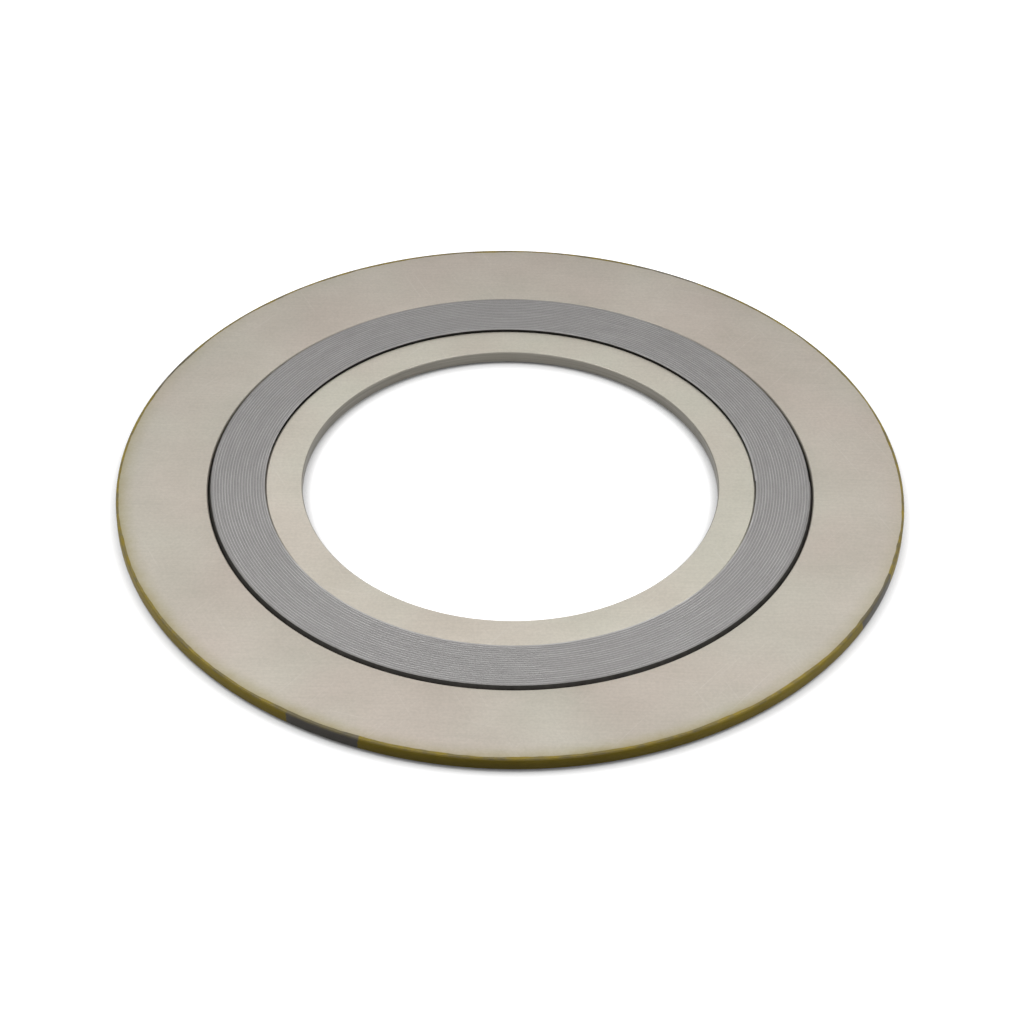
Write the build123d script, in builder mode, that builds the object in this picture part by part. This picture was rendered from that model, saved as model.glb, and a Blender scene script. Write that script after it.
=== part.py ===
from build123d import *
import math
import os

# Spiral wound gasket for a raised-face pipe flange, in millimetres. It lies flat: the origin is the
# centre of the winding's lower face, and +Z runs up through the bore.

# The bore, and the width of each ring outwards from it: the inner ring up to the winding's smallest inner
# diameter, the winding up to its largest outer diameter, and the outer ring from there to its rim
bore_diameter = 102.6
inner_ring_width = 9.05
winding_width = 14.35
outer_ring_width = 22.2

# Outer centring ring and inner ring
outer_ring_thickness = 3.2
inner_ring_thickness = 3.2
rim_chamfer = 0.3
groove_lip_chamfer = 0.15
bore_chamfer = 0.25
nose_shoulder_chamfer = 0.15

# Winding: a chevron strip of steel with a graphite strip between its turns. A real one of this size has
# about 18 turns over filler: there are fewer here, at the same strip and over the same width.
winding_height = 4.5
filler_proud = 0.05
strip_thickness = 0.2
vee_depth = 0.85
inner_plies = 3
outer_plies = 3
wound_turns = 6
filler_end_thickness = 0.1

# Room between the winding's chevron and the groove and nose of the two rings that snap on to it
groove_clearance = 0.15
nose_clearance = 0.15

# The chevron points outwards at mid-height, so its lips are nearest the bore on the first ply, and its
# point is farthest out on the last.
mid_height = winding_height / 2
strip_half_height = mid_height - filler_proud
slope = vee_depth / strip_half_height
inner_lip = bore_diameter / 2 + inner_ring_width
inner_point = inner_lip + vee_depth
outer_point = inner_lip + winding_width
rim = outer_point + outer_ring_width

# The first and last plies are wound metal on metal and spot welded, so each group is one round band. The
# strip leaves the inner band, winds outwards over the filler and runs into the outer band.
filled_from = inner_point + inner_plies * strip_thickness
filled_to = outer_point - outer_plies * strip_thickness
pitch = (filled_to - filled_from + strip_thickness) / wound_turns
filler_thickness = pitch - strip_thickness

# A turn is two half circles, tangent where they meet. The half behind has its centre a quarter pitch to
# the left, and the half in front has it a quarter pitch to the right. By each round band the filler is
# left out over the angle in which the strip moves away from the band by the filler's end thickness.
back_centre = -pitch / 4
front_centre = pitch / 4
half_turn = 180
bare_angle = math.degrees(math.acos(1 - 4 * (strip_thickness + filler_end_thickness) / pitch))


def upright(x):
    """A vertical line through (x, 0)."""
    return Axis((x, 0, 0), (0, 0, 1))


def hanging(x):
    """The same line pointing down, to turn the other way about it."""
    return Axis((x, 0, 0), (0, 0, -1))


def chevron(point_from, point_to, half_height, side=1):
    """A V-section between two radii at its point, on the right (side 1) or on the left (side -1)."""
    lean = slope * half_height
    low = mid_height - half_height
    high = mid_height + half_height
    outline = [
        (point_from - lean, low),
        (point_to - lean, low),
        (point_to, mid_height),
        (point_to - lean, high),
        (point_from - lean, high),
        (point_from, mid_height),
    ]
    Polygon(*[(side * x, z) for x, z in outline], align=None)


# Graphite strip: a soft tape between the turns, standing a little proud of the steel on both faces
with BuildPart() as graphite_filler:
    # First turn: it starts thin on the round inner band and grows to full thickness in one turn
    first_outside = filled_from - strip_thickness + pitch / 2
    with BuildSketch(Plane.XZ):
        chevron(filled_from - pitch, first_outside, mid_height, side=-1)
    revolve(axis=hanging(back_centre), revolution_arc=half_turn - bare_angle)
    with BuildSketch(Plane.XZ):
        chevron(filled_from - pitch, first_outside, mid_height, side=-1)
    revolve(axis=upright(front_centre), revolution_arc=half_turn)
    with BuildSketch(Plane.XZ):
        chevron(filled_from - 2 * pitch, filled_from, mid_height)
    revolve(axis=Axis.Z, mode=Mode.SUBTRACT)

    # Last turn: it thins out again under the round outer band
    last_inside = filled_from + pitch * (wound_turns - 1)
    with BuildSketch(Plane.XZ):
        chevron(last_inside, filled_to + pitch, mid_height)
    revolve(axis=upright(back_centre), revolution_arc=half_turn)
    with BuildSketch(Plane.XZ):
        chevron(last_inside + pitch / 2, filled_to + pitch, mid_height, side=-1)
    revolve(axis=upright(front_centre), revolution_arc=half_turn - bare_angle)
    with BuildSketch(Plane.XZ):
        chevron(filled_to, filled_to + 2 * pitch, mid_height)
    revolve(axis=Axis.Z, mode=Mode.SUBTRACT)

    # The turns between them, all of one thickness
    with BuildSketch(Plane.XZ):
        for turn in range(wound_turns - 1):
            inside = filled_from + pitch * turn
            chevron(inside, inside + filler_thickness, mid_height)
    revolve(axis=upright(back_centre), revolution_arc=half_turn)
    with BuildSketch(Plane.XZ):
        for turn in range(wound_turns - 1):
            inside = filled_from + pitch * (turn + 0.5)
            chevron(inside, inside + filler_thickness, mid_height, side=-1)
    revolve(axis=upright(front_centre), revolution_arc=half_turn)

graphite_filler.part.label = "graphite_filler"

# Steel strip: one chevron strip from the first ply to the last. The graphite lies against it on both
# sides, so its turns are what the graphite leaves of the chevron band.
with BuildPart() as steel_strip:
    with BuildSketch(Plane.XZ):
        chevron(inner_point, outer_point, strip_half_height)
    revolve(axis=Axis.Z)
    add(graphite_filler.part, mode=Mode.SUBTRACT)

steel_strip.part.label = "steel_strip"

# Outer ring: a flat washer that centres the gasket inside the flange's bolts. The groove turned in its
# inner edge snaps over the winding's point.
with BuildPart() as outer_ring:
    groove_point = outer_point + groove_clearance
    groove_half_height = outer_ring_thickness / 2
    groove_lip = groove_point - slope * groove_half_height
    with BuildSketch(Plane.XZ):
        Polygon(
            (groove_lip, mid_height - groove_half_height),
            (rim, mid_height - groove_half_height),
            (rim, mid_height + groove_half_height),
            (groove_lip, mid_height + groove_half_height),
            (groove_point, mid_height),
            align=None,
        )
    revolve(axis=Axis.Z)
    circles = outer_ring.edges().filter_by(GeomType.CIRCLE).group_by(SortBy.RADIUS)
    chamfer(circles[-1], rim_chamfer)
    chamfer(circles[0], groove_lip_chamfer)

outer_ring.part.label = "outer_ring"

# Inner ring: it lines the bore and backs the winding. The nose turned on its outer edge sits in the
# winding's chevron.
with BuildPart() as inner_ring:
    nose_point = inner_point - nose_clearance
    nose_half_height = inner_ring_thickness / 2
    nose_shoulder = nose_point - slope * nose_half_height
    with BuildSketch(Plane.XZ):
        Polygon(
            (bore_diameter / 2, mid_height - nose_half_height),
            (nose_shoulder, mid_height - nose_half_height),
            (nose_point, mid_height),
            (nose_shoulder, mid_height + nose_half_height),
            (bore_diameter / 2, mid_height + nose_half_height),
            align=None,
        )
    revolve(axis=Axis.Z)
    circles = inner_ring.edges().filter_by(GeomType.CIRCLE).group_by(SortBy.RADIUS)
    chamfer(circles[0], bore_chamfer)
    chamfer(circles[1], nose_shoulder_chamfer)

inner_ring.part.label = "inner_ring"

os.makedirs("parts", exist_ok=True)
export_step(graphite_filler.part, "parts/graphite_filler.step")
export_step(steel_strip.part, "parts/steel_strip.step")
export_step(outer_ring.part, "parts/outer_ring.step")
export_step(inner_ring.part, "parts/inner_ring.step")
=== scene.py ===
import math

import bpy
from mathutils import Matrix, Vector, noise


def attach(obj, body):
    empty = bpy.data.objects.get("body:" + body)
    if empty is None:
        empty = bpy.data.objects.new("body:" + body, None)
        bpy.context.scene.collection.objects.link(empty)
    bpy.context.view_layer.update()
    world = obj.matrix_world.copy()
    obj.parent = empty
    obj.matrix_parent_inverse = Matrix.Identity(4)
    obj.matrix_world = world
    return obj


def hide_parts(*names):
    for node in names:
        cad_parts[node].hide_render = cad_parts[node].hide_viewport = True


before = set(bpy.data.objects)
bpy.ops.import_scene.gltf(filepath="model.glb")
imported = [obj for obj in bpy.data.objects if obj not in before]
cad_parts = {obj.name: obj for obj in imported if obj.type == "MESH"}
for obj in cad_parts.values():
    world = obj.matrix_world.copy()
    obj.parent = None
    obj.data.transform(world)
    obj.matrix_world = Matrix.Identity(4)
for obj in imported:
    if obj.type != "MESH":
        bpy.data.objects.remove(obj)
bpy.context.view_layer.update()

# Camera: it stands in front of the gasket and looks down on it, as in the photograph, from 0.72 m
# away with a long lens and a slight tilt to one side.
camera_elevation = math.radians(40.23)
camera_distance = 0.7215
camera_tilt = math.radians(0.92)
aim_point = Vector((0.0005, -0.0080, 0.0))

camera_data = bpy.data.cameras.new("camera")
camera_data.sensor_width = 36
camera_data.lens = 102.35
camera_data.clip_start, camera_data.clip_end = 0.05, 50
camera = bpy.data.objects.new("camera", camera_data)
towards_camera = Vector((0, -math.cos(camera_elevation), math.sin(camera_elevation)))
camera.location = camera_distance * towards_camera
level_view = (aim_point - camera.location).to_track_quat("-Z", "Y").to_matrix().to_4x4()
turned_view = level_view @ Matrix.Rotation(camera_tilt, 4, "Z")
camera.rotation_euler = turned_view.to_euler()
bpy.context.scene.collection.objects.link(camera)
bpy.context.scene.camera = camera

# Steel strip: one thin stainless strip, folded to a V along its middle and wound on edge. It starts with
# plain plies metal on metal, runs outwards with the filler between its turns, and ends with plain plies
# again. Its slit edges are what shows of it, dulled by graphite that the winding has rubbed on to them.
STEPS_PER_TURN = 180
winding_middle = 2.25
strip_thickness = 0.2
strip_low, strip_high = 0.05, 4.45
edge_rounding = 0.03
vee_depth, vee_half_height = 0.85, 2.2
vee_slope = vee_depth / vee_half_height
sharpest_smooth_bend = math.radians(28)
plain_turns = 2
hairline_gap = 0.005
plain_pitch = strip_thickness + hairline_gap
filled_turns = 18
strip_start, strip_stop = 61.2, 74.7
filled_start = strip_start + plain_turns * plain_pitch
filled_stop = strip_stop - strip_thickness - plain_turns * plain_pitch
filled_pitch = (filled_stop - filled_start) / filled_turns


def strip_radius(turn):
    """Inner face of the strip at its V's point, in mm. Turn 0 is the first over filler."""
    if turn < 0:
        return filled_start + plain_pitch * turn
    if turn > filled_turns:
        return filled_stop + plain_pitch * (turn - filled_turns)
    return filled_start + filled_pitch * turn


def lean(height):
    """How far a V-shaped piece stands inwards of its point at this height."""
    return vee_slope * abs(height - winding_middle)


def carried_round(name, sections, closed):
    """A solid between sections set round the bore, each (angle, [(radius, height), ...]) in mm."""
    verts = []
    for angle, section in sections:
        across, along = math.cos(angle) / 1000, math.sin(angle) / 1000
        verts += [(radius * across, radius * along, height / 1000) for radius, height in section]
    count = len(sections[0][1])
    places = len(sections)
    faces = []
    for place in range(places if closed else places - 1):
        here = place * count
        ahead = (place + 1) % places * count
        for corner in range(count):
            beside = (corner + 1) % count
            faces.append((here + corner, ahead + corner, ahead + beside, here + beside))
    if not closed:
        faces.append(tuple(range(count)))
        faces.append(tuple(reversed(range((places - 1) * count, places * count))))
    mesh = bpy.data.meshes.new(name)
    mesh.from_pydata(verts, [], faces)
    mesh.polygons.foreach_set("use_smooth", [True] * len(mesh.polygons))
    mesh.set_sharp_from_angle(angle=sharpest_smooth_bend)
    piece = bpy.data.objects.new(name, mesh)
    bpy.context.scene.collection.objects.link(piece)
    return piece


def strip_section(turn):
    """The strip's V, thin and with softened edges, at this place along its winding."""
    inside = strip_radius(turn)
    outside = inside + strip_thickness
    upper, lower = strip_high - edge_rounding, strip_low + edge_rounding
    outline = [
        (inside, lower),
        (inside + edge_rounding, strip_low),
        (outside - edge_rounding, strip_low),
        (outside, lower),
        (outside, winding_middle),
        (outside, upper),
        (outside - edge_rounding, strip_high),
        (inside + edge_rounding, strip_high),
        (inside, upper),
        (inside, winding_middle),
    ]
    return [(radius - lean(height), height) for radius, height in outline]


def wound(name, first_turn, last_turn, section_at):
    """A strip wound from the first to the last turn, open at its two ends."""
    steps = range(round(first_turn * STEPS_PER_TURN), round(last_turn * STEPS_PER_TURN) + 1)
    sections = [
        (math.tau * step / STEPS_PER_TURN, section_at(step / STEPS_PER_TURN)) for step in steps
    ]
    return carried_round(name, sections, closed=False)


steel_strip = wound("wound_steel_strip", -plain_turns, filled_turns + plain_turns, strip_section)


def new_finish(name, roughness, metallic):
    """A material with its shader, and the place on the piece as a texture coordinate."""
    finish = bpy.data.materials.new(name)
    finish.use_nodes = True
    tree = finish.node_tree
    shader = tree.nodes["Principled BSDF"]
    shader.inputs["Roughness"].default_value = roughness
    shader.inputs["Metallic"].default_value = metallic
    place = tree.nodes.new("ShaderNodeTexCoord").outputs["Object"]
    return finish, tree, shader, place


def stretched(tree, place, scale):
    """The texture coordinate with its own scale along each axis."""
    mapping = tree.nodes.new("ShaderNodeMapping")
    mapping.inputs["Scale"].default_value = scale
    tree.links.new(place, mapping.inputs["Vector"])
    return mapping.outputs["Vector"]


def cloud(tree, place, scale, detail=3.0):
    """A soft random pattern from 0 to 1, with scale blotches to the metre."""
    pattern = tree.nodes.new("ShaderNodeTexNoise")
    pattern.inputs["Scale"].default_value = scale
    pattern.inputs["Detail"].default_value = detail
    pattern.inputs["Roughness"].default_value = 0.55
    tree.links.new(place, pattern.inputs["Vector"])
    return pattern.outputs["Fac"]


def ramp(tree, value, stops):
    """Colours (or greys) along a value: stops holds (position, colour)."""
    node = tree.nodes.new("ShaderNodeValToRGB")
    bar = node.color_ramp
    while len(bar.elements) < len(stops):
        bar.elements.new(0.5)
    for element, (position, colour) in zip(bar.elements, stops):
        element.position = position
        element.color = (*colour, 1) if isinstance(colour, tuple) else (colour, colour, colour, 1)
    tree.links.new(value, node.inputs["Fac"])
    return node.outputs["Color"]


def blend(tree, kind, amount, first, second):
    """Two colours mixed as kind says. Each value is a number, a colour or a node's output."""
    node = tree.nodes.new("ShaderNodeMix")
    node.data_type = "RGBA"
    node.blend_type = kind
    sockets = (node.inputs[0], node.inputs[6], node.inputs[7])
    for socket, value in zip(sockets, (amount, first, second)):
        if isinstance(value, bpy.types.NodeSocket):
            tree.links.new(value, socket)
        elif isinstance(value, tuple):
            socket.default_value = (*value, 1)
        else:
            socket.default_value = value
    return node.outputs[2]


def worked(tree, kind, first, second=0.0):
    """Arithmetic on one or two values, each a number or a node's output."""
    node = tree.nodes.new("ShaderNodeMath")
    node.operation = kind
    for socket, value in zip(node.inputs, (first, second)):
        if isinstance(value, bpy.types.NodeSocket):
            tree.links.new(value, socket)
        else:
            socket.default_value = value
    return node.outputs[0]


def rises(tree, value, start, stop):
    """0 up to start, 1 from stop on, and even between them."""
    node = tree.nodes.new("ShaderNodeMapRange")
    node.inputs["From Min"].default_value = start
    node.inputs["From Max"].default_value = stop
    tree.links.new(value, node.inputs["Value"])
    return node.outputs["Result"]


def distance_out(tree, place):
    """Distance from the middle of the bore, in mm."""
    node = tree.nodes.new("ShaderNodeVectorMath")
    node.operation = "LENGTH"
    tree.links.new(stretched(tree, place, (1000, 1000, 0)), node.inputs[0])
    return node.outputs["Value"]


def along_axes(tree, place):
    """The distances along the three axes, in metres."""
    node = tree.nodes.new("ShaderNodeSeparateXYZ")
    tree.links.new(place, node.inputs[0])
    return node.outputs


def off_middle_height(tree, place):
    """Distance up or down from the middle of the winding's height, in mm."""
    height = along_axes(tree, stretched(tree, place, (1000, 1000, 1000)))["Z"]
    return worked(tree, "ABSOLUTE", worked(tree, "SUBTRACT", height, winding_middle))


def round_the_bore(tree, place, along, across):
    """A texture coordinate for streaks that run round with the turns, across of them to the mm."""
    heading = tree.nodes.new("ShaderNodeVectorMath")
    heading.operation = "NORMALIZE"
    tree.links.new(stretched(tree, place, (1, 1, 0)), heading.inputs[0])
    outwards = tree.nodes.new("ShaderNodeCombineXYZ")
    rows_out = worked(tree, "MULTIPLY", distance_out(tree, place), across)
    tree.links.new(rows_out, outwards.inputs["Z"])
    both = tree.nodes.new("ShaderNodeVectorMath")
    both.operation = "ADD"
    tree.links.new(stretched(tree, heading.outputs["Vector"], (along, along, 0)), both.inputs[0])
    tree.links.new(outwards.outputs["Vector"], both.inputs[1])
    return both.outputs["Vector"]


def raised(tree, shader, height, distance):
    """Fine relief on the surface: height from 0 to 1 stands for distance in metres."""
    bump = tree.nodes.new("ShaderNodeBump")
    bump.inputs["Distance"].default_value = distance
    tree.links.new(height, bump.inputs["Height"])
    tree.links.new(bump.outputs["Normal"], shader.inputs["Normal"])


def seen(tree, shader, colour):
    """The colour that the shader shows."""
    tree.links.new(colour, shader.inputs["Base Color"])


# The strip's slit edges run lighter and darker along the turns. Near the two rings they are painted
# darker as shade in the crevices, and its sides are painted near black as shade.
last_plies_start, last_plies_stop, last_plies_shading = 73.15, 73.6, 0.5
first_plies_start, first_plies_stop, first_plies_shading = 60.65, 60.30, 0.6
side_stop, edge_start = 2.12, 2.18
drag_mark_depth = 0.000004
dull_edge, bright_edge = (0.345, 0.335, 0.328), (0.465, 0.453, 0.445)
# Near-black painted shade, for the strip's sides and for the crevices beside the rings.
dark_painted_shade, light_painted_shade = (0.016, 0.015, 0.013), (0.038, 0.035, 0.031)

strip_finish, tree, shader, place = new_finish("rubbed stainless strip", 0.5, 0.3)
drag_marks = cloud(tree, round_the_bore(tree, place, 6, 1.3), 1.0)
slit_edge = ramp(tree, drag_marks, [(0.35, dull_edge), (0.65, bright_edge)])
crevice_shade = ramp(tree, cloud(tree, place, 500), [(0.3, dark_painted_shade), (0.7, light_painted_shade)])
out = distance_out(tree, place)
on_last_plies = rises(tree, out, last_plies_start, last_plies_stop)
by_outer_ring = worked(tree, "MULTIPLY", on_last_plies, last_plies_shading)
on_first_plies = rises(tree, out, first_plies_start, first_plies_stop)
by_inner_ring = worked(tree, "MULTIPLY", on_first_plies, first_plies_shading)
# Painted shade: by the two rings the slit edges darken toward the near-black side colour.
ring_side_shading = worked(tree, "MAXIMUM", by_outer_ring, by_inner_ring)
edge_with_painted_shade = blend(tree, "MIX", ring_side_shading, slit_edge, crevice_shade)
on_edge = rises(tree, off_middle_height(tree, place), side_stop, edge_start)
seen(tree, shader, blend(tree, "MIX", on_edge, crevice_shade, edge_with_painted_shade))
raised(tree, shader, drag_marks, drag_mark_depth)
steel_strip.data.materials.append(strip_finish)
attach(steel_strip, "root")
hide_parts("steel_strip")

# Graphite filler: a soft tape of flexible graphite, wound in with the steel so that it fills the room
# between its turns. The winding pressure squeezes it up into a low crown over the steel on both faces.
filler_end = 0.2
filler_low, filler_high = 0.0, 4.5
unevenness, ripples_per_turn, ripple_row = 0.012, 9.0, 3.1
crown_height = 0.045
crown = [(0.0, 1.0), (0.18, 0.35), (0.5, 0.0), (0.82, 0.35), (1.0, 1.0)]


def filler_section(turn):
    """What the graphite fills between one turn of steel and the next."""
    inside = strip_radius(turn - 1) + strip_thickness
    outside = strip_radius(turn)
    ripple = noise.noise(Vector((turn * ripples_per_turn, ripple_row, 0.0)))
    top = filler_high - unevenness + unevenness * ripple
    over = [
        (inside + (outside - inside) * share, top - (crown_height + top - filler_high) * drop)
        for share, drop in reversed(crown)
    ]
    under = [(radius, filler_low + filler_high - height) for radius, height in reversed(over)]
    outline = under + [(outside, winding_middle)] + over + [(inside, winding_middle)]
    return [(radius - lean(height), height) for radius, height in outline]


last_filled = filled_turns + 1 - filler_end
graphite_filler = wound("wound_graphite_filler", filler_end, last_filled, filler_section)

flake_depth = 0.00001
dark_flake, light_flake = (0.238, 0.231, 0.227), (0.295, 0.288, 0.283)
graphite_finish, tree, shader, place = new_finish("pressed graphite", 0.55, 0.0)
shade = ramp(tree, cloud(tree, place, 2600), [(0.3, dark_flake), (0.7, light_flake)])
rubbed_streaks = cloud(tree, round_the_bore(tree, place, 9, 0.9), 1.0, 4)
rubbed = ramp(tree, rubbed_streaks, [(0.3, 0.88), (0.7, 1.0)])
patches = ramp(tree, cloud(tree, place, 60), [(0.3, 0.93), (0.7, 1.0)])
for pattern in (rubbed, patches):
    shade = blend(tree, "MULTIPLY", 1.0, shade, pattern)
seen(tree, shader, shade)
raised(tree, shader, cloud(tree, place, 3500), flake_depth)
graphite_filler.data.materials.append(graphite_finish)
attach(graphite_filler, "root")
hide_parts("graphite_filler")

# Inner ring: a flat stainless ring that lines the bore and backs the winding. It is cut from rolled
# sheet, and its edges are turned on a lathe: a small chamfer at the bore, and outside a V-shaped nose
# that snaps into the first ply.
RING_STEPS = 360
LARGEST_CORNER = 0.4
grain_depth = 0.000006
scratch_headings = (17, 64, 128)
scratch_strength, bright_scratch = 0.16, (0.72, 0.70, 0.66)


def softened(outline, rounding):
    """The section with each corner taken off in three small steps."""
    section = []
    for corner, point in enumerate(outline):
        before, after = Vector(outline[corner - 1]), Vector(outline[(corner + 1) % len(outline)])
        point = Vector(point)
        shorter = min((before - point).length, (after - point).length)
        reach = min(rounding, shorter * LARGEST_CORNER)
        start = point + (before - point).normalized() * reach
        stop = point + (after - point).normalized() * reach
        for share in (0.0, 1 / 3, 2 / 3, 1.0):
            left = 1 - share
            section.append(tuple(start * left**2 + point * 2 * share * left + stop * share**2))
    return section


def turned_ring(name, outline, rounding):
    """A ring with this section all the way round."""
    section = softened(outline, rounding)
    places = [(math.tau * step / RING_STEPS, section) for step in range(RING_STEPS)]
    return carried_round(name, places, closed=True)


ring_low, ring_high = 0.65, 3.85
bore_radius = 51.3
bore_chamfer = 0.25
nose_point = 61.05
nose_shoulder = nose_point - lean(ring_high)
shoulder_chamfer = 0.4
inner_ring = turned_ring(
    "steel_inner_ring",
    [
        (bore_radius + bore_chamfer, ring_low),
        (nose_shoulder - shoulder_chamfer, ring_low),
        (nose_point - lean(ring_low + shoulder_chamfer), ring_low + shoulder_chamfer),
        (nose_point, winding_middle),
        (nose_point - lean(ring_high - shoulder_chamfer), ring_high - shoulder_chamfer),
        (nose_shoulder - shoulder_chamfer, ring_high),
        (bore_radius + bore_chamfer, ring_high),
        (bore_radius, ring_high - bore_chamfer),
        (bore_radius, ring_low + bore_chamfer),
    ],
    rounding=0.06,
)


def handling_scratches(tree, place, heading, shade):
    """Hairline scratches in one rough direction, lighter than the steel round them."""
    turned = tree.nodes.new("ShaderNodeMapping")
    turned.inputs["Rotation"].default_value = (0, 0, math.radians(heading))
    tree.links.new(place, turned.inputs["Vector"])
    streaks = cloud(tree, stretched(tree, turned.outputs["Vector"], (28, 2300, 28)), 1.0, 2)
    scratched = ramp(tree, streaks, [(0.66, 0.0), (0.74, scratch_strength)])
    return blend(tree, "MIX", scratched, shade, bright_scratch)


def rolled_sheet(name, dark, light, roughness, metallic):
    """Dull rolled steel: blotches, a drift of colour, fine specks, rolling grain and scratches."""
    finish, tree, shader, place = new_finish(name, roughness, metallic)
    shade = ramp(tree, cloud(tree, place, 42, 5), [(0.32, dark), (0.68, light)])
    rosy, greenish = (1.0, 0.972, 0.962), (0.975, 1.0, 0.975)
    drift = ramp(tree, cloud(tree, place, 24, 2), [(0.38, rosy), (0.62, greenish)])
    specks = ramp(tree, cloud(tree, place, 1500), [(0.35, 0.92), (0.65, 1.0)])
    grain_lines = cloud(tree, stretched(tree, place, (60, 2400, 60)), 1.0, 4)
    grain = ramp(tree, grain_lines, [(0.3, 0.94), (0.7, 1.0)])
    for pattern in (drift, specks, grain):
        shade = blend(tree, "MULTIPLY", 1.0, shade, pattern)
    for heading in scratch_headings:
        shade = handling_scratches(tree, place, heading, shade)
    handled = cloud(tree, place, 90, 4)
    dullness = ramp(tree, handled, [(0.3, roughness - 0.05), (0.7, roughness + 0.07)])
    tree.links.new(dullness, shader.inputs["Roughness"])
    raised(tree, shader, grain_lines, grain_depth)
    return finish, tree, shader, place, shade


dark_pale, light_pale = (0.545, 0.508, 0.438), (0.605, 0.567, 0.497)
# The bore's wall colours are darkened as painted shade on the wall.
dark_shaded_wall, light_shaded_wall = (0.185, 0.172, 0.143), (0.265, 0.248, 0.212)
wall_stop, face_start = 51.44, 51.58
inner_finish, tree, shader, place, shade = rolled_sheet(
    "pale rolled stainless", dark_pale, light_pale, roughness=0.42, metallic=0.45
)
# The bore's wall is painted far darker than the faces, as painted shade, with turning marks in it.
turning_marks = cloud(tree, stretched(tree, place, (40, 40, 2500)), 1.0)
shaded_bore_wall = ramp(tree, turning_marks, [(0.3, dark_shaded_wall), (0.7, light_shaded_wall)])
on_face = rises(tree, distance_out(tree, place), wall_stop, face_start)
seen(tree, shader, blend(tree, "MIX", on_face, shaded_bore_wall, shade))
inner_ring.data.materials.append(inner_finish)
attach(inner_ring, "root")
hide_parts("inner_ring")

# Outer ring: a flat carbon steel washer that centres the gasket inside the flange's bolts. A groove
# turned in its inner edge snaps over the winding's last ply. Its rim is chamfered for the paint, and
# some of the paint has drifted on to its face, most of it on one side.
rim_radius = 96.9
paint_thickness = 0.03
rim_chamfer = 0.3
groove_point = 74.85
groove_lip = groove_point - lean(ring_high)
lip_chamfer = 0.55
steel_rim = rim_radius - paint_thickness
outer_ring = turned_ring(
    "steel_outer_ring",
    [
        (groove_lip + lip_chamfer, ring_low),
        (steel_rim - rim_chamfer, ring_low),
        (steel_rim, ring_low + rim_chamfer),
        (steel_rim, ring_high - rim_chamfer),
        (steel_rim - rim_chamfer, ring_high),
        (groove_lip + lip_chamfer, ring_high),
        (groove_point - lean(ring_high - lip_chamfer), ring_high - lip_chamfer),
        (groove_point, winding_middle),
        (groove_point - lean(ring_low + lip_chamfer), ring_low + lip_chamfer),
    ],
    rounding=0.08,
)

dark_tan, light_tan = (0.48, 0.437, 0.38), (0.545, 0.50, 0.44)
overspray_start, overspray_fading, overspray_yellow = 92.4, 1.5, (0.29, 0.245, 0.10)
spray_slant, bare_edge, sprayed_edge = 0.35, 0.05, -0.08
# The groove's lip is painted darker, as shade in the groove beside the winding.
lip_shade_start, lip_shade_stop, shaded_lip = 74.85, 74.45, (0.30, 0.275, 0.235)
outer_finish, tree, shader, place, shade = rolled_sheet(
    "tan rolled carbon steel", dark_tan, light_tan, roughness=0.46, metallic=0.3
)
out = distance_out(tree, place)
ragged = ramp(tree, cloud(tree, place, 300), [(0.3, 0.0), (0.7, 0.7)])
patchy = ramp(tree, cloud(tree, place, 25), [(0.4, 0.6), (0.6, 1.0)])
axes = along_axes(tree, place)
from_spray = worked(tree, "ADD", worked(tree, "MULTIPLY", axes["X"], spray_slant), axes["Y"])
near_spray = rises(tree, from_spray, bare_edge, sprayed_edge)
sprayed_side = ramp(tree, near_spray, [(0.0, 0.1), (1.0, 1.0)])
by_rim = rises(tree, worked(tree, "ADD", out, ragged), overspray_start, rim_radius)
fading = worked(tree, "POWER", by_rim, overspray_fading)
overspray = worked(tree, "MULTIPLY", worked(tree, "MULTIPLY", fading, patchy), sprayed_side)
shade = blend(tree, "MIX", overspray, shade, overspray_yellow)
# Painted shade on the groove's lip and chamfer next to the winding.
on_lip = rises(tree, out, lip_shade_start, lip_shade_stop)
seen(tree, shader, blend(tree, "MIX", on_lip, shade, shaded_lip))
outer_ring.data.materials.append(outer_finish)
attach(outer_ring, "root")
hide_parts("outer_ring")

# Rim paint: the yellow enamel brushed round the outer ring's rim to show what the strip is made of,
# with four short grey stripes over it for the graphite. Its colours are painted darker than fresh
# enamel, as shade over the rim. It laps unevenly on to both faces, more at the front and back than at
# the two sides, and is darker along the rim's corners, partly worn thin and partly painted shade.
PAINT_STEPS = 1440
film_under = 0.02
film_feather = 0.05
bend_before, bend_after, bend_in = 0.03, 0.06, 0.04
smallest_lap, narrow_lap, wide_lap = 0.1, 0.45, 0.65
upper_face, lower_face = 0.2, 5.2


def ragged_lap(angle, face_number):
    """How far the paint has run in over one face, in mm."""
    around = Vector((math.cos(angle), math.sin(angle), face_number))
    brushed_in = narrow_lap + (wide_lap - narrow_lap) * math.sin(angle) ** 2
    ragged = 0.25 * noise.noise(around * 9) + 0.12 * noise.noise(around * 40)
    return max(smallest_lap, brushed_in + ragged)


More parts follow.
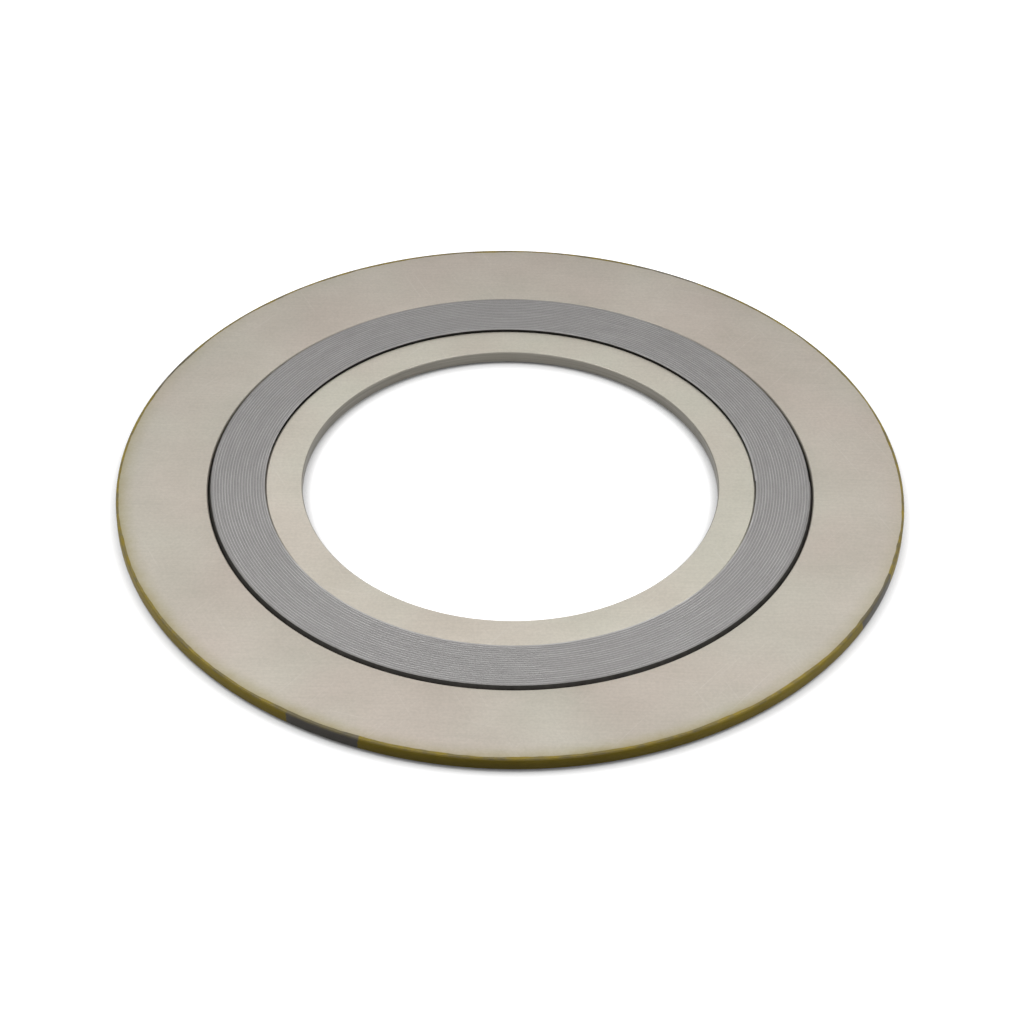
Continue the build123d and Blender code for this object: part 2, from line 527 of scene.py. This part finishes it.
def paint_section(angle):
    """The film over the rim, with its own ragged edge on the upper and on the lower face."""
    upper_lap, lower_lap = ragged_lap(angle, upper_face), ragged_lap(angle, lower_face)
    face = rim_radius - rim_chamfer
    top, bottom = ring_high + paint_thickness * 0.5, ring_low - paint_thickness * 0.5
    rim_top, rim_bottom = ring_high - rim_chamfer, ring_low + rim_chamfer
    return [
        (face - lower_lap, ring_low + film_under),
        (face - lower_lap + film_feather, bottom),
        (face - bend_before, bottom),
        (face + bend_after, bottom + bend_before),
        (rim_radius - bend_in, rim_bottom - bend_after),
        (rim_radius, rim_bottom + film_feather),
        (rim_radius, rim_top - film_feather),
        (rim_radius - bend_in, rim_top + bend_after),
        (face + bend_after, top - bend_before),
        (face - bend_before, top),
        (face - upper_lap + film_feather, top),
        (face - upper_lap, ring_high - film_under),
        (face - film_feather, ring_high - film_under),
        (steel_rim - film_under, rim_top - film_under),
        (steel_rim - film_under, rim_bottom + film_under),
        (face - film_feather, ring_low + film_under),
    ]


paint_angles = [math.tau * step / PAINT_STEPS for step in range(PAINT_STEPS)]
paint_sections = [(angle, paint_section(angle)) for angle in paint_angles]
rim_paint = carried_round("rim_paint", paint_sections, closed=True)

stripe_count, stripe_softness = 4, 0.004
first_stripe, stripe_half_width = math.radians(64.9), math.radians(5.5)
corner_darkening_start, corner_darkening_stop = 1.15, 1.50
brush_mark_depth = 0.00002
# The yellow and the grey are painted darker than fresh enamel, as shade over the whole rim.
dark_yellow, light_yellow = (0.260, 0.190, 0.020), (0.340, 0.255, 0.031)
dark_grey, light_grey = (0.094, 0.086, 0.074), (0.138, 0.128, 0.112)
worn_and_shaded_enamel = (0.16, 0.135, 0.07)

paint_finish, tree, shader, place = new_finish("yellow rim enamel with grey stripes", 0.5, 0.0)
shader.inputs["Specular IOR Level"].default_value = 0.15
yellow = ramp(tree, cloud(tree, place, 130, 4), [(0.3, dark_yellow), (0.7, light_yellow)])
grey = ramp(tree, cloud(tree, place, 160, 4), [(0.3, dark_grey), (0.7, light_grey)])
axes = along_axes(tree, place)
angle = worked(tree, "ARCTAN2", axes["Y"], axes["X"])
ragged = ramp(tree, cloud(tree, place, 400), [(0.3, 0.0), (0.7, 0.012)])
from_stripe = worked(tree, "SUBTRACT", worked(tree, "ADD", angle, ragged), first_stripe)
nearness = worked(tree, "COSINE", worked(tree, "MULTIPLY", from_stripe, stripe_count))
stripe_edge = math.cos(stripe_count * stripe_half_width)
striped = rises(tree, nearness, stripe_edge - stripe_softness, stripe_edge + stripe_softness)
coat = blend(tree, "MIX", striped, yellow, grey)
# Along both corners the paint turns darker: partly worn thin paint, partly painted shade on the chamfer
# that catches the light from above.
corner_patchiness = ramp(tree, cloud(tree, place, 350, 4), [(0.35, 0.25), (0.65, 0.95)])
by_corner = rises(tree, off_middle_height(tree, place), corner_darkening_start, corner_darkening_stop)
worn_and_shaded = worked(tree, "MULTIPLY", by_corner, corner_patchiness)
seen(tree, shader, blend(tree, "MIX", worn_and_shaded, coat, worn_and_shaded_enamel))
raised(tree, shader, cloud(tree, place, 900), brush_mark_depth)
rim_paint.data.materials.append(paint_finish)
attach(rim_paint, "root")

# Table and backdrop: a plain pale table that fades into a white room. Close under the gasket it glows
# less, which leaves the soft shadow there, and the light that it throws back up is dimmer than it looks.
half_width = 3.0
table_drop = 0.0001
table_glow = 0.97
shadow_reach, shadow_depth = 0.004, 1.5
table_seen, table_lit = (0.40, 0.40, 0.40), (0.04, 0.04, 0.04)
table_mesh = bpy.data.meshes.new("table")
corners = [(half_width * x, half_width * y, 0) for x, y in ((-1, -1), (1, -1), (1, 1), (-1, 1))]
table_mesh.from_pydata(corners, [], [(0, 1, 2, 3)])
table = bpy.data.objects.new("table", table_mesh)
table.location.z = -table_drop
bpy.context.scene.collection.objects.link(table)


def shows_white(tree):
    """1 where the eye, a reflection or a clear piece looks at this, 0 for the light it gives back."""
    ray = tree.nodes.new("ShaderNodeLightPath")
    either = worked(tree, "MAXIMUM", ray.outputs["Is Camera Ray"], ray.outputs["Is Glossy Ray"])
    return worked(tree, "MAXIMUM", either, ray.outputs["Is Transmission Ray"])


table_finish, tree, shader, _ = new_finish("white table", 1.0, 0.0)
shader.inputs["Specular IOR Level"].default_value = 0.0
seen(tree, shader, blend(tree, "MIX", shows_white(tree), table_lit, table_seen))
shader.inputs["Emission Color"].default_value = (1, 1, 1, 1)
open_above = tree.nodes.new("ShaderNodeAmbientOcclusion")
open_above.samples = 4
open_above.inputs["Distance"].default_value = shadow_reach
unshaded = worked(tree, "POWER", open_above.outputs["AO"], shadow_depth)
glow = worked(tree, "MULTIPLY", unshaded, table_glow)
strength = worked(tree, "MULTIPLY", shows_white(tree), glow)
tree.links.new(strength, shader.inputs["Emission Strength"])
table.data.materials.append(table_finish)

world = bpy.data.worlds.new("white room")
bpy.context.scene.world = world
world.use_nodes = True
tree = world.node_tree
background = tree.nodes["Background"]
background.inputs["Color"].default_value = (1, 1, 1, 1)
room_light_all_round = 0.025
room_light_overhead, overhead_narrowing = 0.5, 3.0
direction = along_axes(tree, tree.nodes.new("ShaderNodeTexCoord").outputs["Generated"])
upwards = worked(tree, "MAXIMUM", direction["Z"], 0.0)
narrowed = worked(tree, "POWER", upwards, overhead_narrowing)
overhead = worked(tree, "MULTIPLY", narrowed, room_light_overhead)
room_light = worked(tree, "ADD", overhead, room_light_all_round)
strength = worked(tree, "MAXIMUM", shows_white(tree), room_light)
tree.links.new(strength, background.inputs["Strength"])

# Lamps: two soft ones hang low over the near side, left and right, so that the far side falls off a
# little and the edges that face the camera stay dark. A larger one hangs high behind the gasket.
for name, stand, aim, length, width, power in (
    ("low lamp left", (-0.18, -0.08, 0.25), (-0.05, -0.03, 0.0), 0.15, 0.15, 0.45),
    ("low lamp right", (0.18, -0.08, 0.25), (0.05, -0.03, 0.0), 0.15, 0.15, 0.45),
    ("high lamp behind", (0.0, 0.30, 1.00), (0.0, 0.0, 0.0), 1.2, 0.4, 1.0),
):
    lamp_data = bpy.data.lights.new(name, "AREA")
    lamp_data.shape = "RECTANGLE"
    lamp_data.size = length
    lamp_data.size_y = width
    lamp_data.energy = power
    lamp = bpy.data.objects.new(name, lamp_data)
    lamp.location = stand
    lamp.rotation_euler = (Vector(aim) - Vector(stand)).to_track_quat("-Z", "Y").to_euler()
    lamp.visible_camera = False
    bpy.context.scene.collection.objects.link(lamp)

bpy.context.scene.view_settings.view_transform = "Standard"
